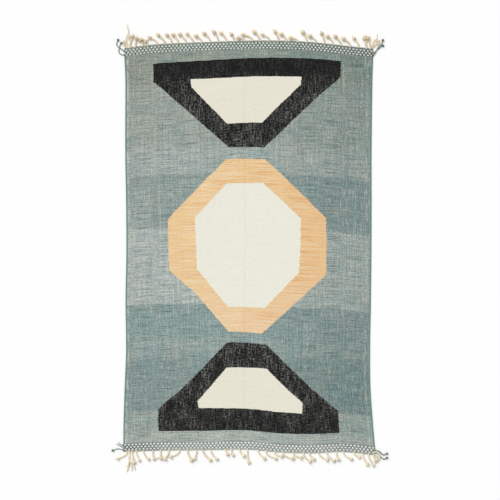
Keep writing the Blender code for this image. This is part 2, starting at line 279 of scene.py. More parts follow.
# The motifs: an octagon in the middle, and half an octagon towards each end, each with a field inside a
# frame. The corners run anticlockwise, as places on the rug.
MOTIFS = {
    "middle_frame": (
        (0.078, -0.523), (0.473, -0.161), (0.472, 0.181), (0.214, 0.435), (0.100, 0.539),
        (-0.140, 0.539), (-0.493, 0.175), (-0.486, -0.091), (-0.120, -0.510),
    ),
    "middle_field": (
        (0.094, -0.368), (0.307, -0.150), (0.320, 0.176), (0.089, 0.394),
        (-0.133, 0.391), (-0.329, 0.184), (-0.313, -0.130), (-0.126, -0.359),
    ),
    "head_frame": (
        (0.095, 0.610), (0.558, 1.038), (0.561, 1.136), (-0.581, 1.119), (-0.580, 1.010), (-0.121, 0.612),
    ),
    "head_field": (
        (0.081, 0.763), (0.319, 0.995), (0.319, 1.040), (-0.353, 1.024), (-0.349, 0.978), (-0.131, 0.755),
    ),
    "foot_frame": (
        (0.553, -1.125), (0.543, -0.991), (0.112, -0.590), (-0.131, -0.574), (-0.550, -1.006),
        (-0.548, -1.116),
    ),
    "foot_field": (
        (0.323, -1.008), (0.328, -0.945), (0.110, -0.736), (-0.134, -0.729), (-0.310, -0.932),
        (-0.304, -0.974),
    ),
}
# Where the weaver stepped further out than a straight diagonal
STEPS_OUT = {
    "middle_frame": (
        (-0.484, -0.085), (-0.482, -0.137), (-0.344, -0.259), (-0.265, -0.259), (-0.386, -0.085),
    ),
    "foot_frame": (
        (-0.414, -0.867), (-0.495, -0.928), (-0.550, -0.980), (-0.550, -1.059), (-0.386, -1.059),
        (-0.356, -0.834),
    ),
}


def smooth_between(stations, values, at):
    """The value at a place on the smooth curve that runs through the values at the stations."""
    at = min(max(at, stations[0]), stations[-1])
    k = min(sum(s <= at for s in stations), len(stations) - 1) - 1

    def slope(i):
        low, high = max(i - 1, 0), min(i + 1, len(stations) - 1)
        return (values[high] - values[low]) / (stations[high] - stations[low])

    gap = stations[k + 1] - stations[k]
    t = (at - stations[k]) / gap
    return (
        values[k] * (2 * t**3 - 3 * t**2 + 1)
        + slope(k) * gap * (t**3 - 2 * t**2 + t)
        + values[k + 1] * (3 * t**2 - 2 * t**3)
        + slope(k + 1) * gap * (t**3 - t**2)
    )


def selvedges(along):
    """Where the left and the right selvedge lie at a distance along the rug."""
    stations = [s.along for s in SIDE_SECTIONS]
    left = smooth_between(stations, [s.left for s in SIDE_SECTIONS], along)
    right = smooth_between(stations, [s.right for s in SIDE_SECTIONS], along)
    return left, right


def woven_end(way, across):
    """How far along the rug its woven head or foot lies, at a share of the width."""
    stations = [s.across for s in END_SECTIONS]
    return smooth_between(stations, [s.head if way > 0 else s.foot for s in END_SECTIONS], across)


def on_cloth(across, along):
    """A point of the cloth, from shares of 0 to 1 of its width and of its length."""
    across = 2 * across - 1
    y = woven_end(-1, across) * (1 - along) + woven_end(1, across) * along
    left, right = selvedges(y)
    return Vector((left + (right - left) * (across + 1) / 2, y, 0))


def shares_on_cloth(x, y):
    """The shares of the cloth's width and length at a place on the rug."""
    left, right = selvedges(y)
    across = (x - left) / (right - left)
    foot, head = woven_end(-1, 2 * across - 1), woven_end(1, 2 * across - 1)
    return across, (y - foot) / (head - foot)


def beyond_end(way, across, out):
    """A point beside the cloth's head or foot, out metres away from it, at -1 to 1 of the width."""
    y = woven_end(way, across)
    left, right = selvedges(y)
    return Vector((left + (right - left) * (across + 1) / 2, y + way * out, 0))


def share_of_edge(end, x):
    """How far along an end's edge a place lies, from 0 at the left corner to 1 at the right one."""
    left, right = selvedges(woven_end(end.way, -1))[0], selvedges(woven_end(end.way, 1))[1]
    return (x - left) / (right - left)


def linear(red, green, blue):
    """A photographed colour, from 0 to 255, as the light that a surface sends back."""
    return tuple(
        (c / 255 / 12.92 if c / 255 <= 0.04045 else ((c / 255 + 0.055) / 1.055) ** 2.4)
        for c in (red, green, blue)
    )


def colour(name, description, rgb):
    """A colour setting."""
    return bpy.props.FloatVectorProperty(
        name=name, description=description, subtype="COLOR", size=3, min=0, max=1, default=linear(*rgb)
    )


def length(name, description, default):
    """A size setting."""
    return bpy.props.FloatProperty(
        name=name, description=description, subtype="DISTANCE", unit="LENGTH", min=0, precision=4,
        default=default,
    )


class KilimCloth(bpy.types.PropertyGroup):
    """Sizes and colours of the woven cloth."""

    thickness: length("Thickness", "How thick the weave is", 0.0035)
    rib: length("Rib spacing", "From one warp rib to the next", 0.004)
    rib_height: length("Rib height", "How far a rib stands out of the weave", 0.0005)
    selvedge: length("Selvedge width", "Width of the bound edge", 0.009)
    selvedge_thickness: length("Selvedge thickness", "How thick the bound edge is", 0.0048)
    ripple: length("Ripple", "How far the cloth is from lying quite level", 0.0007)
    cream: colour("Cream", "The field inside the middle frame", (235, 234, 220))
    old_cream: colour("Old cream", "The fields inside the dark frames", (231, 227, 210))
    ochre: colour("Ochre", "The frame in the middle", (234, 198, 145))
    charcoal: colour("Charcoal", "The frames at the head and the foot", (21, 22, 22))
    fleck: colour("Warp", "The undyed warp that shows through", (214, 208, 188))
    binding: colour("Selvedge", "The yarn of the bound edges", (112, 142, 140))


class KilimNet(bpy.types.PropertyGroup):
    """Sizes and colours of the openwork."""

    mesh: length("Mesh", "From one opening to the next along a row", 0.022)
    cord: length("Cord", "Thickness of the twined cords", 0.0088)
    thin_cord: length("Thin cord", "Thickness of the cords beside the cloth and the edge", 0.0046)
    wave: length("Wave", "How far a cord swings to meet its neighbours", 0.0026)
    twist: length("Twist", "Length of one turn of the yarn", 0.0127)
    knot: length("Knot", "Width of the wrap that ties two cords together", 0.0108)
    edge_cord: length("Edge cord", "Thickness of the cord along the edge", 0.0058)
    bulge: length("Edge bulge", "How far the edge swells between two tassels", 0.0022)
    dark: colour("Dark ply", "The dyed ply of the net's yarn", (80, 106, 93))
    pale: colour("Pale ply", "The lighter ply of the net's yarn", (168, 177, 167))


class KilimTassels(bpy.types.PropertyGroup):
    """Sizes and colours of the knotted fringe."""

    strand: length("Strand", "Thickness of a twisted bundle of warp ends", 0.0125)
    knot: length("Knot", "Width of a knot", 0.0276)
    twist: length("Twist", "Length of one turn of a strand", 0.024)
    tail: length("Tail", "How far the frayed ends stand out of a knot", 0.009)
    warp: colour("Warp ends", "The undyed warp at the head", (228, 212, 180))
    pale_warp: colour("Faded warp ends", "The undyed warp at the foot", (232, 221, 193))


class KilimStage(bpy.types.PropertyGroup):
    """The floor, the light and the camera."""

    view_width: length("View width", "Width of the floor that the picture shows", 3.0425)
    lens: bpy.props.FloatProperty(name="Lens", description="Focal length in millimetres", min=1, default=85)
    floor: colour("Floor", "The pale floor", (246, 246, 246))
    sky: bpy.props.FloatProperty(name="Sky", description="Strength of the light all round", default=0.63)
    sun: bpy.props.FloatProperty(name="Lamp", description="Strength of the soft lamp", default=2.15)


def add(tree, kind, inputs=None, **settings):
    """Adds a node, sets its options, and feeds its inputs with values or with other nodes' outputs."""
    node = tree.nodes.new(kind)
    for key, value in settings.items():
        setattr(node, key, value)
    for key, value in (inputs or {}).items():
        if isinstance(value, bpy.types.NodeSocket):
            tree.links.new(value, node.inputs[key])
        else:
            node.inputs[key].default_value = value
    return node


def maths(tree, operation, first, second=0.0, third=0.0):
    """The output of a Math node."""
    return add(tree, "ShaderNodeMath", {0: first, 1: second, 2: third}, operation=operation).outputs[0]


def product(tree, value, *others):
    """Values multiplied together."""
    for other in others:
        value = maths(tree, "MULTIPLY", value, other)
    return value


def vectors(tree, operation, first, second, third=(0, 0, 0)):
    """The output of a Vector Math node."""
    return add(tree, "ShaderNodeVectorMath", {0: first, 1: second, 2: third}, operation=operation).outputs[0]


def speckle(tree, vector, scale, detail=2.0, dimensions="2D"):
    """Noise from 0 to 1, with its own scale on each axis."""
    stretched = vectors(tree, "MULTIPLY", vector, scale)
    return add(
        tree, "ShaderNodeTexNoise", {"Vector": stretched, "Scale": 1.0, "Detail": detail},
        noise_dimensions=dimensions,
    ).outputs["Fac"]


def span(tree, value, low, high, to_low=0.0, to_high=1.0):
    """A value brought from one range to another, and kept inside it."""
    inputs = {"Value": value, "From Min": low, "From Max": high, "To Min": to_low, "To Max": to_high}
    return add(tree, "ShaderNodeMapRange", inputs, clamp=True).outputs[0]


def blend(tree, share, first, second, kind="MIX"):
    """The output of a colour Mix node."""
    node = add(tree, "ShaderNodeMix", data_type="RGBA", blend_type=kind, clamp_factor=True)
    for socket, value in zip((node.inputs[0], node.inputs[6], node.inputs[7]), (share, first, second)):
        if isinstance(value, bpy.types.NodeSocket):
            tree.links.new(value, socket)
        elif isinstance(value, float):
            socket.default_value = value
        else:
            socket.default_value = (*value, 1)
    return node.outputs[2]


def layered(tree, tint, layers):
    """Blends colours over a tint, each up to a share where its texture goes from its low to its high."""
    for texture, low, high, share, over in layers:
        tint = blend(tree, span(tree, texture, low, high, 0.0, share), tint, over)
    return tint


def scaled(tree, tint, factor):
    """A colour multiplied by a value."""
    grey = add(tree, "ShaderNodeCombineColor", {0: factor, 1: factor, 2: factor}).outputs[0]
    return blend(tree, 1.0, tint, grey, "MULTIPLY")


def wool_fibres():
    """A shader node group: the fine fibres of spun wool, from a vector in metres along and around a yarn."""
    name = "wool fibres"
    if name in bpy.data.node_groups:
        return bpy.data.node_groups[name]
    tree = bpy.data.node_groups.new(name, "ShaderNodeTree")
    tree.interface.new_socket("Vector", in_out="INPUT", socket_type="NodeSocketVector")
    coarse = tree.interface.new_socket("Fibres", in_out="INPUT", socket_type="NodeSocketFloat")
    coarse.default_value = 1.0
    tree.interface.new_socket("Shade", in_out="OUTPUT", socket_type="NodeSocketFloat")
    tree.interface.new_socket("Height", in_out="OUTPUT", socket_type="NodeSocketFloat")
    given = add(tree, "NodeGroupInput").outputs
    place = add(
        tree, "ShaderNodeVectorMath", {0: given["Vector"], "Scale": given["Fibres"]}, operation="SCALE"
    ).outputs[0]
    patches = speckle(tree, place, (60, 60, 60), 3.0, "3D")
    hairs = speckle(tree, place, (900, 900, 900), 2.0, "3D")
    shade = maths(tree, "ADD", maths(tree, "MULTIPLY", patches, 0.6), maths(tree, "MULTIPLY", hairs, 0.4))
    result = add(tree, "NodeGroupOutput")
    tree.links.new(shade, result.inputs["Shade"])
    tree.links.new(hairs, result.inputs["Height"])
    return tree


def new_material(name):
    """An empty material: its node tree, and its Principled shader with a wool's dull sheen."""
    material = bpy.data.materials.new(name)
    material.use_nodes = True
    tree = material.node_tree
    shader = tree.nodes["Principled BSDF"]
    shader.inputs["Roughness"].default_value = 0.95
    shader.inputs["Specular IOR Level"].default_value = 0.1
    shader.inputs["Sheen Weight"].default_value = 0.04
    shader.inputs["Sheen Roughness"].default_value = 0.6
    return material, tree, shader


def yarn_material(name, rgb, depth, drift, worn=None):
    """Spun wool. depth is how dark the painted shade in its hollows gets, and drift how far its dye wanders.

    variation, on a net, is how bright the yarn is at the left corner, near the middle and at the right
    corner.
    """
    material, tree, shader = new_material(name)
    place = add(tree, "ShaderNodeTexCoord").outputs["Object"]
    fibres = add(tree, "ShaderNodeGroup", node_tree=wool_fibres())
    tree.links.new(place, fibres.inputs["Vector"])
    batch = speckle(tree, place, (9, 9, 9), 3.0, "3D")
    # The fibres' noise darkens the yarn by up to depth: painted shade in its hollows
    shade = span(tree, fibres.outputs["Shade"], 0.3, 0.7, 1 - depth, 1 + depth * 0.5)
    shade = product(tree, shade, span(tree, batch, 0.3, 0.7, 1 - drift, 1 + drift))
    if worn:
        left, middle, right = worn
        x = add(tree, "ShaderNodeSeparateXYZ", {0: place}).outputs[0]
        shade = product(
            tree, shade,
            span(tree, x, -0.73, -0.42, left, 1.0),
            span(tree, x, -0.05, 0.25, middle, 1.0),
            span(tree, x, 0.45, 0.60, 1.0, right),
        )
    tree.links.new(scaled(tree, rgb, shade), shader.inputs["Base Color"])
    bump = add(
        tree, "ShaderNodeBump",
        {"Height": fibres.outputs["Height"], "Strength": 0.5, "Distance": 0.0006},
    )
    tree.links.new(bump.outputs[0], shader.inputs["Normal"])
    return material


def inside(tree, place, corners, size):
    """1 inside a motif and 0 outside.

    place is in metres on the straightened cloth, with a third part of 1.
    """
    points = []
    for x, y in corners:
        across, along = shares_on_cloth(x, y)
        points.append(Vector(((across - 0.5) * size[0], (along - 0.5) * size[1])))
    furthest = None
    for start, end in zip(points, points[1:] + points[:1]):
        edge = (end - start).normalized()
        outward = Vector((edge.y, -edge.x))
        line = (outward.x, outward.y, -outward.dot(start))
        distance = add(
            tree, "ShaderNodeVectorMath", {0: place, 1: line}, operation="DOT_PRODUCT"
        ).outputs["Value"]
        furthest = distance if furthest is None else maths(tree, "MAXIMUM", furthest, distance)
    return maths(tree, "LESS_THAN", furthest, 0.0)


def ground_colour(tree, across, along, size):
    """The ground's dye: one ramp of batches at each selvedge, blended over the width."""
    ramps = []
    for side in ("left", "right"):
        ramp = add(tree, "ShaderNodeValToRGB", {0: along})
        stops = ramp.color_ramp.elements
        stops[0].position, stops[0].color = 0, (*linear(*getattr(BATCHES[0], side)), 1)
        stops[1].position, stops[1].color = 1, (*linear(*getattr(BATCHES[-1], side)), 1)
        for before, batch in zip(BATCHES, BATCHES[1:]):
            for at, dye in ((batch.start - batch.blend / 2, before), (batch.start + batch.blend / 2, batch)):
                stop = stops.new(0.5 + at / size[1])
                stop.color = (*linear(*getattr(dye, side)), 1)
        ramps.append(ramp.outputs[0])
    return blend(tree, across, *ramps)


# The textures of the weave: the scale of each across and along the cloth, and its detail
TEXTURES = {
    "wefts": ((7, 190, 1), 3.0),
    "short_wefts": ((26, 300, 1), 2.0),
    "thin_wefts": ((4.5, 260, 1), 1.0),
    "passes": ((2.5, 46, 1), 2.0),
    "warps": ((150, 16, 1), 2.0),
    "long_warps": ((120, 2.5, 1), 2.0),
    "short_warps": ((250, 60, 1), 2.0),
    "slubs": ((62, 4.5, 1), 1.0),
    "mottle": ((95, 105, 1), 1.0),
    "clouds": ((6, 11, 1), 3.0),
    "patches": ((14, 9, 1), 2.0),
    "grain": ((260, 330, 1), 2.0),
    "turns": ((14, 210, 1), 1.0),
    "wander": ((3, 3, 1), 2.0),
    "breaks": ((40, 22, 1), 2.0),
}


def weave_textures(tree, size):
    """A place on the straightened cloth, in metres from its middle, and the textures of the weave there."""
    shares = add(tree, "ShaderNodeUVMap", uv_map="weave").outputs[0]
    place = vectors(tree, "MULTIPLY_ADD", shares, (*size, 0), (-size[0] / 2, -size[1] / 2, 1))
    apart = add(tree, "ShaderNodeSeparateXYZ", {0: place}).outputs
    across = maths(tree, "ADD", maths(tree, "DIVIDE", apart[0], size[0]), 0.5)
    textures = {name: speckle(tree, place, *form) for name, form in TEXTURES.items()}
    return SimpleNamespace(size=size, place=place, x=apart[0], y=apart[1], across=across, **textures)


def distance_from(tree, value, middle):
    """How far a value is from a middle."""
    return maths(tree, "ABSOLUTE", maths(tree, "ADD", value, -middle))


def motif_masks(tree, settings, weave):
    """1 inside each motif. The lines waver, turn back raggedly, and step from one warp to the next."""
    place = weave.place
    waver = add(
        tree, "ShaderNodeTexNoise", {"Vector": place, "Scale": 9.0, "Detail": 2.0}, noise_dimensions="2D"
    ).outputs["Color"]
    waver = vectors(tree, "SUBTRACT", waver, (0.5, 0.5, 0.5))
    drawn = vectors(tree, "MULTIPLY_ADD", waver, (0.008, 0.005, 0), place)
    ragged = maths(tree, "MULTIPLY_ADD", weave.turns, 0.012, -0.006)
    shift = add(tree, "ShaderNodeCombineXYZ", {0: ragged}).outputs[0]
    drawn = vectors(tree, "ADD", drawn, shift)
    stepped = vectors(tree, "SNAP", drawn, (settings.rib / 2, settings.rib / 2, 1))
    masks = {name: inside(tree, stepped, corners, weave.size) for name, corners in MOTIFS.items()}
    for name, corners in STEPS_OUT.items():
        masks[name] = maths(tree, "MAXIMUM", masks[name], inside(tree, stepped, corners, weave.size))
    return masks


def dyed_ground(tree, settings, weave):
    """The ground: batches of dye that lie a little askew, lighter in the middle, streaked and flecked."""
    x, y = weave.x, weave.y
    slant = maths(tree, "MULTIPLY_ADD", distance_from(tree, y, -0.2), -0.009, 0.0107)
    tilt = maths(tree, "MULTIPLY_ADD", x, slant, maths(tree, "DIVIDE", y, weave.size[1]))
    wander = maths(tree, "MULTIPLY_ADD", weave.wander, 0.004, 0.498)
    ground = ground_colour(tree, weave.across, maths(tree, "ADD", tilt, wander), weave.size)
    middle = span(tree, distance_from(tree, x, -0.15), 0.10, 0.75, 1.15, 1.0)
    centre = span(tree, distance_from(tree, x, 0.0), 0.04, 0.30, 1.08, 1.0)
    ground = scaled(tree, ground, product(tree, middle, centre))
    ground = layered(tree, ground, (
        (weave.clouds, 0.50, 0.70, 0.24, linear(104, 142, 146)),
        (weave.clouds, 0.48, 0.30, 0.16, linear(176, 172, 160)),
        (weave.warps, 0.50, 0.75, 0.34, settings.fleck[:]),
        (weave.short_warps, 0.50, 0.72, 0.36, settings.fleck[:]),
        (weave.mottle, 0.50, 0.28, 0.30, linear(92, 124, 122)),
        (weave.wefts, 0.46, 0.28, 0.50, linear(84, 112, 112)),
        (weave.short_wefts, 0.47, 0.28, 0.50, linear(96, 118, 114)),
    ))
    lines = product(
        tree,
        span(tree, weave.long_warps, 0.3, 0.7, 0.89, 1.11),
        span(tree, weave.wefts, 0.3, 0.7, 0.92, 1.08),
        span(tree, weave.mottle, 0.3, 0.7, 0.93, 1.07),
    )
    return layered(tree, scaled(tree, ground, lines), ((weave.slubs, 0.72, 0.80, 0.3, settings.fleck[:]),))


def dark_frame(tree, settings, weave):
    """The dark frames show flecks of warp, fewest along the head and most where the frames narrow."""
    flecks = maths(tree, "MULTIPLY_ADD", weave.warps, 0.35, product(tree, weave.short_wefts, 0.3))
    flecks = maths(tree, "MULTIPLY_ADD", weave.mottle, 0.35, flecks)
    worn = product(
        tree,
        span(tree, weave.patches, 0.35, 0.62, 0.45, 1.2),
        span(tree, weave.y, 0.94, 1.06, 1.0, 0.25),
        span(tree, weave.y, -0.94, -1.06, 1.0, 0.65),
    )
    showing = product(tree, span(tree, flecks, 0.47, 0.62, 0.0, 0.34), worn)
    return blend(tree, showing, settings.charcoal[:], linear(176, 176, 168))


def ochre_frame(tree, settings, weave):
    """The ochre frame is streaked along its wefts, more to the right, and is paler near its foot."""
    pale = linear(246, 228, 196)
    to_right = span(tree, weave.across, 0.35, 0.75, 0.7, 1.4)
    picks = product(tree, span(tree, weave.thin_wefts, 0.52, 0.68, 0.0, 0.80), to_right)
    ochre = layered(tree, settings.ochre[:], ((weave.passes, 0.48, 0.68, 0.40, linear(241, 220, 184)),))
    ochre = blend(tree, picks, ochre, linear(222, 154, 88))
    return layered(tree, ochre, (
        (weave.wefts, 0.46, 0.34, 0.55, pale),
        (weave.thin_wefts, 0.46, 0.32, 0.55, pale),
        (weave.long_warps, 0.50, 0.72, 0.25, linear(240, 214, 172)),
        (weave.short_warps, 0.52, 0.72, 0.28, linear(244, 218, 178)),
        (weave.short_wefts, 0.46, 0.30, 0.30, linear(212, 160, 104)),
        (weave.across, 0.45, 0.75, 0.28, linear(222, 176, 124)),
        (weave.y, -0.15, -0.48, 0.30, linear(236, 212, 184)),
    ))


def bound_edges(tree, settings, weave, woven):
    """Adds the bound edges, greener towards the head, with a broken light line inside them."""
    from_middle = distance_from(tree, weave.x, 0.0)
    edge = weave.size[0] / 2 - settings.selvedge
    inset = product(tree, maths(tree, "GREATER_THAN", weave.x, 0.0), 0.016)
    off_line = maths(tree, "ADD", from_middle, maths(tree, "SUBTRACT", inset, edge - 0.005))
    light = product(
        tree,
        span(tree, maths(tree, "ABSOLUTE", off_line), 0.004, 0.009, 1.0, 0.0),
        span(tree, weave.breaks, 0.42, 0.6, 0.0, 0.5),
        span(tree, weave.x, -0.1, 0.1, 1.0, 0.5),
    )
    woven = blend(tree, light, woven, settings.fleck[:])
    bound = layered(tree, settings.binding[:], ((weave.y, 0.5, 1.1, 0.6, linear(104, 124, 112)),))
    return blend(tree, maths(tree, "GREATER_THAN", from_middle, edge), woven, bound)


def cloth_material(settings, size):
    """The weave, with its batches of dye, motifs, streaks, flecks of warp, selvedges and a fold line."""
    material, tree, shader = new_material("woven_wool")
    weave = weave_textures(tree, size)
    masks = motif_masks(tree, settings, weave)
    charcoal = dark_frame(tree, settings, weave)
    ochre = ochre_frame(tree, settings, weave)
    cream = layered(tree, settings.cream[:], ((weave.passes, 0.50, 0.75, 0.12, linear(238, 238, 228)),))
    old_cream = layered(
        tree, settings.old_cream[:], ((weave.passes, 0.40, 0.65, 0.35, linear(234, 232, 219)),)
    )
    woven = dyed_ground(tree, settings, weave)
    for name, yarn in (
        ("middle_frame", ochre),
        ("head_frame", charcoal),
        ("foot_frame", charcoal),
        ("middle_field", cream),
        ("head_field", old_cream),
        ("foot_field", old_cream),
    ):
        woven = blend(tree, masks[name], woven, yarn)
    woven = bound_edges(tree, settings, weave, woven)

    # A line where the rug was folded
    fold = span(tree, distance_from(tree, weave.x, -0.024), 0.0, 0.011, 0.13, 0.0)
    woven = blend(tree, fold, woven, blend(tree, 1.0, woven, (0.72, 0.66, 0.52), "MULTIPLY"))

    # Light and dark by yarn: wefts, less in the creams, and fibres; and painted shade in the hollows between
    # two ribs
    rib = maths(tree, "PINGPONG", weave.x, settings.rib / 2)
    fibres = add(tree, "ShaderNodeGroup", node_tree=wool_fibres())
    tree.links.new(weave.place, fibres.inputs["Vector"])
    fields = maths(tree, "ADD", masks["head_field"], masks["foot_field"])
    plain = maths(tree, "ADD", masks["middle_field"], fields)
    even = maths(tree, "MULTIPLY_ADD", plain, -0.75, 1.0)
    streaks = span(tree, weave.wefts, 0.3, 0.7, -0.07, 0.07)
    shade = product(
        tree,
        # Painted shade in the hollows between two ribs
        span(tree, rib, 0.0, settings.rib * 0.22, 0.80, 1.0),
        maths(tree, "MULTIPLY_ADD", streaks, even, 1.0),
        span(tree, weave.grain, 0.3, 0.7, 0.94, 1.06),
        span(tree, fibres.outputs["Shade"], 0.3, 0.7, 0.95, 1.05),
    )
    tree.links.new(scaled(tree, woven, shade), shader.inputs["Base Color"])

    # Each weft goes over one rib and under the next
    other_rib = maths(tree, "FLOOR", maths(tree, "DIVIDE", weave.x, settings.rib))
    along = product(tree, weave.y, 2 * math.pi / WEFT_SPACING)
    weft_row = maths(tree, "SINE", maths(tree, "MULTIPLY_ADD", other_rib, math.pi, along))
    height = maths(tree, "MULTIPLY_ADD", fibres.outputs["Height"], 0.5, weft_row)
    bump = add(tree, "ShaderNodeBump", {"Height": height, "Strength": 0.5, "Distance": 0.0003})
    tree.links.new(bump.outputs[0], shader.inputs["Normal"])
    return material


def add_piece(name, bm, materials, slot):
    """Puts a finished mesh in the scene as a piece that rides with the rug."""
    bmesh.ops.recalc_face_normals(bm, faces=bm.faces)
    mesh = bpy.data.meshes.new(name)
    bm.to_mesh(mesh)
    bm.free()
    mesh.shade_smooth()
    for material in materials:
        mesh.materials.append(material)
    piece = bpy.data.objects.new(name, mesh)
    bpy.context.scene.collection.objects.link(piece)
    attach(piece, "root")
    return piece


def sleeve(bm, points, radii, sides=6, squash=1.0, upright=Vector((0, 0, 1)), slot=0):
    """A tube around a row of points: a grid that is rolled up. upright is never along the points' run."""
    rings = len(points)
    made = bmesh.ops.create_grid(bm, x_segments=rings - 1, y_segments=sides, size=0.5)["verts"]
    frames = []
    for i, (point, radius) in enumerate(zip(points, radii)):
        run = points[min(i + 1, rings - 1)] - points[max(i - 1, 0)]
        side = upright.cross(run).normalized()
        up = run.cross(side).normalized()
        frames.append((point, side * radius, up * radius * squash))
    for vert in made:
        point, side, up = frames[round((vert.co.x + 0.5) * (rings - 1))]
        turn = (vert.co.y + 0.5) * 2 * math.pi
        vert.co = point + side * math.cos(turn) + up * math.sin(turn)
    if slot:
        for face in {face for vert in made for face in vert.link_faces}:
            face.material_index = slot


def close_sleeves(bm):
    """Merges the seams of rolled-up tubes and fills their ends."""
    bmesh.ops.remove_doubles(bm, verts=bm.verts, dist=1e-6)
    bmesh.ops.holes_fill(bm, edges=[edge for edge in bm.edges if edge.is_boundary], sides=6)


def spaced(route, step):
    """Points a step apart along a route, given as a function of 0 to 1."""
    samples = 400
    rough = [route(k / samples) for k in range(samples + 1)]
    run = [0.0]
    for a, b in zip(rough, rough[1:]):
        run.append(run[-1] + (b - a).length)
    count = max(2, round(run[-1] / step))
    points, k = [], 0
    for i in range(count + 1):
        at = run[-1] * i / count
        while k < len(run) - 2 and run[k + 1] < at:
            k += 1
        share = (at - run[k]) / max(run[k + 1] - run[k], 1e-9)
        points.append(rough[k].lerp(rough[k + 1], share))
    return points


def twisted(bm, points, thickness, twist, start=0.0, taper=None, slots=(0, 0), flat=0.72, ply=0.29, lift=0.0):
    """A cord of two plies that lies on the floor along a row of points.

    flat squashes it, ply is a ply's radius as a share of the thickness, and lift raises its middle.
    """
    last = len(points) - 1
    sizes = [thickness * (taper(i / last) if taper else 1.0) for i in range(last + 1)]
    for number, slot in enumerate(slots):
        run, turned = 0.0, []
        for i, point in enumerate(points):
            ahead = points[min(i + 1, last)] - points[max(i - 1, 0)]
            side = Vector((-ahead.y, ahead.x, 0)).normalized()
            if i:
                run += (point - points[i - 1]).length
            angle = start + 2 * math.pi * run / twist + math.pi * number
            swing = sizes[i] * (0.5 - ply)
            hump = lift * math.sin(math.pi * i / last)
            rise = Vector((0, 0, (math.sin(angle) * swing + sizes[i] / 2) * flat + hump))
            turned.append(point + side * math.cos(angle) * swing + rise)
        sleeve(bm, turned, [size * ply for size in sizes], squash=flat, slot=slot)


def winding(bm, centre, heading, wide, turns, steps, begin=0.0, sides=6):
    """A strand wound round itself, fattest in its middle, that lies on the floor."""
    side = Vector((-heading.y, heading.x, 0))
    squash = 0.42
    tube = wide * 0.215
    middle = (wide / 2 - tube) * squash + tube
    points, radii = [], []
    for k in range(steps + 1):
        share = k / steps
        angle = begin + turns * 2 * math.pi * share
        swell = (wide / 2 - tube) * (0.72 + 0.28 * math.sin(math.pi * share))
        along = heading * wide * 0.55 * (share - 0.5)
        rise = Vector((0, 0, math.sin(angle) * swell * squash + middle))
        points.append(Vector((centre.x, centre.y, 0)) + along + side * math.cos(angle) * swell + rise)
        radii.append(tube * (0.75 + 0.25 * math.sin(math.pi * share)))
    sleeve(bm, points, radii, sides=sides, squash=0.8, upright=heading)


def through(places):
    """A smooth route of 0 to 1 through places on the floor."""
    stations = [i / (len(places) - 1) for i in range(len(places))]

    def route(t):
        x = smooth_between(stations, [place[0] for place in places], t)
        y = smooth_between(stations, [place[1] for place in places], t)
        return Vector((x, y, 0))

    return route


class KILIM_OT_cloth(bpy.types.Operator):
    """Weave the cloth, with its ribs, its selvedges and its flat underside"""

    bl_idname = "kilim.cloth"
    bl_label = "Weave the cloth"

    def execute(self, context):
        settings = context.scene.kilim_cloth
        width = SIDE_SECTIONS[4].right - SIDE_SECTIONS[4].left
        long = END_SECTIONS[4].head - END_SECTIONS[4].foot
        columns, rows = 2 * round(width / settings.rib), 64
        bm = bmesh.new()
        bm.loops.layers.uv.new("weave")
        bmesh.ops.create_grid(bm, x_segments=columns, y_segments=rows, size=0.5, calc_uvs=True)
        selvedge = settings.selvedge / width
        for vert in bm.verts:
            across, along = vert.co.x + 0.5, vert.co.y + 0.5
            column = round(across * columns)
            point = on_cloth(across, along)
            wave = math.sin(RIPPLES_ACROSS * point.x + RIPPLE_SKEW * point.y)
            wave *= math.cos(RIPPLES_ALONG * point.y)
            lump = noise.noise(Vector((point.x * 3.1, point.y * 2.3, 0)))
            height = settings.thickness + settings.ripple * (wave + lump) * 0.6
            height += settings.rib_height * (0.5 if column % 2 else -0.5)
            inward = min(across, 1 - across)
            if inward < selvedge:
                cord = abs(math.sin(2 * math.pi * inward / selvedge))
                height = settings.selvedge_thickness * (0.72 + 0.28 * cord)
            vert.co = point + Vector((0, 0, height))
        rim = [edge for edge in bm.edges if edge.is_boundary]
        # The sides are round, and the woven ends stop square
        for edge in rim:
            run = edge.verts[1].co - edge.verts[0].co
            edge.smooth = abs(run.y) > abs(run.x)
        skirt = bmesh.ops.extrude_edge_only(bm, edges=rim)["geom"]
        for vert in skirt:
            if isinstance(vert, bmesh.types.BMVert):
                vert.co.z = 0.0
        under = [edge for edge in bm.edges if edge.is_boundary]
        bmesh.ops.contextual_create(bm, geom=under)
        # The skirt's faces come in an order that differs from run to run, so they are put in one order
        bm.verts.index_update()
        count = len(bm.verts)

        def place_in_order(face):
            first, second, third = sorted(vert.index for vert in face.verts)[:3]
            return (first * count + second) * count + third

        bm.faces.sort(key=place_in_order)
        cloth = add_piece("kilim_cloth", bm, [cloth_material(settings, (width, long))], "woven_wool")
        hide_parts("cloth")
        return {"FINISHED"}


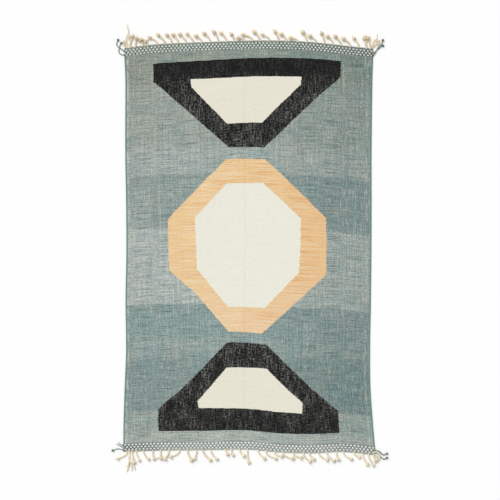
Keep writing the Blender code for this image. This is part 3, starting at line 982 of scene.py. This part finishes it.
class KILIM_OT_nets(bpy.types.Operator):
    """Twine the openwork of both ends: wavy cords tied to their neighbours at every other swing"""

    bl_idname = "kilim.nets"
    bl_label = "Twine the nets"

    def execute(self, context):
        settings = context.scene.kilim_net
        # How far from the cloth each cord runs, its share of the wave, and its thickness
        cords = (
            (0.0022, 0.25, settings.thin_cord),
            (0.0147, 1.0, settings.cord),
            (0.0293, 1.0, settings.cord),
            (0.0414, 0.3, settings.thin_cord),
        )
        width = SIDE_SECTIONS[-1].right - SIDE_SECTIONS[-1].left
        waves = round(width / settings.mesh)
        for end in ENDS:
            faded = Vector(linear(*FADED_DYE))
            yarn = []
            for ply, dye, depth, drift in (
                ("dark", settings.dark, 0.30, 0.16),
                ("pale", settings.pale, 0.22, 0.10),
            ):
                dye = Vector(dye).lerp(faded, end.fade)[:]
                yarn.append(yarn_material(f"{end.name}_{ply}_ply", dye, depth, drift, end.worn))
            bm = bmesh.new()
            routes = []
            for cord, (out, share, thickness) in enumerate(cords):
                points = []
                for k in range(waves * WAVE_STEPS + 1):
                    t = k / (waves * WAVE_STEPS)
                    swing = settings.wave * share * math.cos(2 * math.pi * waves * t + math.pi * cord)
                    stray = CORD_STRAY * noise.noise(Vector((t * 60, cord * 7.0, end.seed)))
                    points.append(beyond_end(end.way, 2 * t - 1, out + swing + stray))
                routes.append(points)
                twist = settings.twist * (1 if cord % 2 else -1)
                twisted(bm, points, thickness * end.slack, twist, start=cord, slots=(0, 1), flat=0.5)
            for cord, (inner, outer) in enumerate(zip(routes, routes[1:])):
                for k in range(WAVE_STEPS // 2 * (cord % 2), len(inner), WAVE_STEPS):
                    centre = (inner[k] + outer[k]) / 2
                    uneven = 1 + 0.15 * noise.noise(Vector((k * 0.7, cord, end.seed)))
                    wide = settings.knot * end.slack * uneven
                    winding(bm, centre, Vector((0, 1, 0)), wide, 1.6, begin=k, steps=9, sides=4)
            close_sleeves(bm)
            net = add_piece(f"{end.name}_openwork", bm, yarn, "net_yarn")
            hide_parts(f"{end.name}_net")
        return {"FINISHED"}


class KILIM_OT_edges(bpy.types.Operator):
    """Lay the twisted cord along each edge, swelling between the tassels"""

    bl_idname = "kilim.edges"
    bl_label = "Lay the corded edges"

    def execute(self, context):
        settings = context.scene.kilim_net
        for end in ENDS:
            yarn = [bpy.data.materials[f"{end.name}_{ply}_ply"] for ply in ("dark", "pale")]
            stops = [0.0, *(share_of_edge(end, tassel.root) for tassel in end.tassels), 1.0]

            def route(t):
                k = max(i for i, stop in enumerate(stops[:-1]) if stop <= t)
                share = (t - stops[k]) / (stops[k + 1] - stops[k])
                bulge = settings.bulge * math.sin(math.pi * share)
                return beyond_end(end.way, 2 * t - 1, EDGE_OUT + bulge)

            points = [route(k / EDGE_STEPS) for k in range(EDGE_STEPS + 1)]
            bm = bmesh.new()
            twisted(bm, points, settings.edge_cord, EDGE_TWIST, slots=(0, 1), flat=0.7)
            close_sleeves(bm)
            edge = add_piece(f"{end.name}_edge_cord", bm, yarn, "net_yarn")
            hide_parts(f"{end.name}_fringe")
        return {"FINISHED"}


def frayed_ends(bm, draw, start, heading, count, reach, spread, radius):
    """Loose fibres that fan out along the floor from a point."""
    steps = 6
    for k in range(count):
        angle = spread * ((k + 0.5) / count - 0.5) * 2 + draw.uniform(-0.15, 0.15)
        far = reach * draw.uniform(0.7, 1.1)
        curl = draw.uniform(-0.6, 0.6)
        points, at = [], start.copy()
        for i in range(steps + 1):
            share = i / steps
            turn = angle + curl * share
            way = Vector((
                heading.x * math.cos(turn) - heading.y * math.sin(turn),
                heading.x * math.sin(turn) + heading.y * math.cos(turn),
                0,
            ))
            if i:
                at = at + way * far / steps
            height = max(start.z * (1 - share) ** 2, 0) + radius
            points.append(Vector((at.x, at.y, height)))
        sleeve(bm, points, [radius * (1.1 - 0.8 * i / steps) for i in range(steps + 1)], sides=4)


def tassel_route(end, tassel):
    """A tassel's way along the floor from its root to its knot: straight out, then over to its lean."""
    across = 2 * share_of_edge(end, tassel.root) - 1
    root = beyond_end(end.way, across, ROOT_OUT)
    root.x = tassel.root
    lean = math.radians(tassel.lean)
    knot = root + Vector((math.sin(lean), end.way * math.cos(lean), 0)) * tassel.reach
    bend = root + Vector((0, end.way * tassel.reach * TASSEL_HOOK, 0))
    inner = root - Vector((0, end.way * ROOT_DEPTH, 0))

    def route(t):
        if t < ROOTED_SHARE:
            return inner.lerp(root, t / ROOTED_SHARE)
        t = (t - ROOTED_SHARE) / (1 - ROOTED_SHARE)
        return root * (1 - t) ** 2 + bend * 2 * t * (1 - t) + knot * t**2

    return route


class KILIM_OT_tassels(bpy.types.Operator):
    """Twist and knot the warp ends of both ends of the rug"""

    bl_idname = "kilim.tassels"
    bl_label = "Knot the tassels"

    def execute(self, context):
        settings = context.scene.kilim_tassels
        for end in ENDS:
            dye = settings.warp[:] if end.way > 0 else settings.pale_warp[:]
            warp = yarn_material(f"{end.name}_warp", dye, 0.22, 0.08)
            draw = random.Random(end.seed)
            bm = bmesh.new()
            for i, tassel in enumerate(end.tassels):
                route = tassel_route(end, tassel)
                self.tassel(bm, draw, settings, end.slack, route, i in end.unravelled)
            close_sleeves(bm)
            piece = add_piece(f"{end.name}_tassels", bm, [warp], "warp_ends")
            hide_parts(f"{end.name}_fringe")
        return {"FINISHED"}

    def tassel(self, bm, draw, settings, slack, route, unravelled):
        """One twisted strand, with a wound knot and frayed ends, or fanned out past its middle."""
        points = spaced(route, STRAND_STEP)
        swerve = draw.uniform(0, 100)
        for k, point in enumerate(points):
            wobble = noise.noise(Vector((swerve, k * 0.12, 0))) * SWERVE * min(k / 6, 1)
            point.x += wobble
        heading = (points[-1] - points[-4]).normalized()
        size = settings.strand * slack * draw.uniform(0.90, 1.08)
        if unravelled:
            keep = len(points) * 6 // 10
            fork = points[keep - 1] + Vector((0, 0, 0.002))
            twisted(bm, points[:keep], size, settings.twist, draw.uniform(0, 6), ply=0.33)
            frayed_ends(bm, draw, fork, heading, 9, 0.044, 0.45, 0.0009)
            return
        twisted(bm, points, size, settings.twist, draw.uniform(0, 6), ply=0.33)
        wide = settings.knot * slack * draw.uniform(0.86, 1.06)
        winding(bm, points[-1], heading, wide, 2.3, begin=draw.uniform(0, 6), steps=40, sides=8)
        tip = points[-1] + heading * settings.knot * 0.36 + Vector((0, 0, 0.003))
        frayed_ends(bm, draw, tip, heading, 9, settings.tail * draw.uniform(0.5, 1.2), 0.60, 0.0013)


class KILIM_OT_threads(bpy.types.Operator):
    """Leave the threads at the corners loose: the net's own yarn, and a few warp ends"""

    bl_idname = "kilim.threads"
    bl_label = "Leave the loose threads"

    def execute(self, context):
        for end in ENDS:
            net_yarn = [bpy.data.materials[f"{end.name}_{ply}_ply"] for ply in ("dark", "pale")]
            draw = random.Random(end.seed + 10)
            tied, loose = bmesh.new(), bmesh.new()
            for thread in THREADS:
                if thread.end != end.name:
                    continue
                points = spaced(through(thread.places), THREAD_STEP)
                heading = (points[-1] - points[-4]).normalized()
                tip = points[-1] + Vector((0, 0, 0.002))
                if thread.yarn == "net":
                    twisted(
                        tied, points, thread.thickness, YARN_TWIST, draw.uniform(0, 6), slots=(0, 1),
                        lift=0.002,
                    )
                    if thread.knotted:
                        winding(tied, points[-1], heading, YARN_KNOT, 1.8, steps=20)
                    frayed_ends(tied, draw, tip, heading, 4, 0.010, 0.5, 0.0009)
                else:
                    twisted(
                        loose, points, thread.thickness, WARP_TWIST, draw.uniform(0, 6),
                        taper=lambda t: 1 - 0.25 * t, ply=0.33, lift=0.004,
                    )
                    frayed_ends(loose, draw, tip, heading, 5, 0.012, 0.6, 0.0008)
            for name, bm, materials, slot, node in (
                ("yarn_ends", tied, net_yarn, "net_yarn", "net"),
                ("loose_warp", loose, [bpy.data.materials[f"{end.name}_warp"]], "warp_ends", "fringe"),
            ):
                if not bm.verts:
                    bm.free()
                    continue
                close_sleeves(bm)
                piece = add_piece(f"{end.name}_{name}", bm, materials, slot)
                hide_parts(f"{end.name}_{node}")
        return {"FINISHED"}


class KILIM_OT_declare(bpy.types.Operator):
    bl_idname = "kilim.declare"
    bl_label = "Declare the cloth"

    def execute(self, context):
        return {"FINISHED"}


class KILIM_OT_stage(bpy.types.Operator):
    """Set the pale floor, the soft light and the camera straight above"""

    bl_idname = "kilim.stage"
    bl_label = "Set the stage"

    def execute(self, context):
        scene = context.scene
        settings = scene.kilim_stage
        scene.view_settings.view_transform = "Standard"
        bm = bmesh.new()
        bmesh.ops.create_grid(bm, x_segments=1, y_segments=1, size=FLOOR_REACH)
        mesh = bpy.data.meshes.new("floor")
        for vert in bm.verts:
            vert.co.z = -FLOOR_GAP
        bm.to_mesh(mesh)
        bm.free()
        floor = bpy.data.objects.new("floor", mesh)
        scene.collection.objects.link(floor)
        material = bpy.data.materials.new("floor")
        material.use_nodes = True
        shader = material.node_tree.nodes["Principled BSDF"]
        shader.inputs["Base Color"].default_value = (*settings.floor, 1)
        shader.inputs["Roughness"].default_value = 0.9
        mesh.materials.append(material)

        world = bpy.data.worlds.new("studio")
        world.use_nodes = True
        light = world.node_tree.nodes["Background"].inputs
        light["Color"].default_value = (1, 1, 1, 1)
        light["Strength"].default_value = settings.sky
        scene.world = world
        key = bpy.data.lights.new("key", "SUN")
        key.energy = settings.sun
        key.angle = math.radians(LAMP_WIDTH)
        lamp = bpy.data.objects.new("key", key)
        lamp.rotation_euler = (*map(math.radians, LAMP_TILTS), 0)
        scene.collection.objects.link(lamp)

        camera = bpy.data.cameras.new("camera")
        camera.lens = settings.lens
        viewer = bpy.data.objects.new("camera", camera)
        distance = settings.view_width * settings.lens / camera.sensor_width
        viewer.location = (*VIEW_CENTRE, distance)
        scene.collection.objects.link(viewer)
        scene.camera = viewer
        return {"FINISHED"}


class KILIM_PT_panel(bpy.types.Panel):
    """The kilim's settings and the steps that make it"""

    bl_label = "Kilim"
    bl_space_type = "VIEW_3D"
    bl_region_type = "UI"
    bl_category = "Kilim"

    def draw(self, context):
        for group in ("kilim_cloth", "kilim_net", "kilim_tassels", "kilim_stage"):
            box = self.layout.box()
            settings = getattr(context.scene, group)
            for name in settings.bl_rna.properties.keys():
                if name not in ("rna_type", "name"):
                    box.prop(settings, name)
        for operator in OPERATORS:
            self.layout.operator(operator.bl_idname)


GROUPS = {
    "kilim_cloth": KilimCloth,
    "kilim_net": KilimNet,
    "kilim_tassels": KilimTassels,
    "kilim_stage": KilimStage,
}
OPERATORS = (
    KILIM_OT_cloth,
    KILIM_OT_nets,
    KILIM_OT_edges,
    KILIM_OT_tassels,
    KILIM_OT_threads,
    KILIM_OT_declare,
    KILIM_OT_stage,
)


def register():
    for name, group in GROUPS.items():
        bpy.utils.register_class(group)
        setattr(bpy.types.Scene, name, bpy.props.PointerProperty(type=group))
    for operator in OPERATORS:
        bpy.utils.register_class(operator)
    bpy.utils.register_class(KILIM_PT_panel)


def unregister():
    bpy.utils.unregister_class(KILIM_PT_panel)
    for operator in reversed(OPERATORS):
        bpy.utils.unregister_class(operator)
    for name, group in reversed(GROUPS.items()):
        delattr(bpy.types.Scene, name)
        bpy.utils.unregister_class(group)


def main():
    register()
    bpy.ops.kilim.cloth()
    bpy.ops.kilim.nets()
    bpy.ops.kilim.edges()
    bpy.ops.kilim.tassels()
    bpy.ops.kilim.threads()
    bpy.ops.kilim.declare()
    bpy.ops.kilim.stage()


if __name__ == "__main__":
    main()
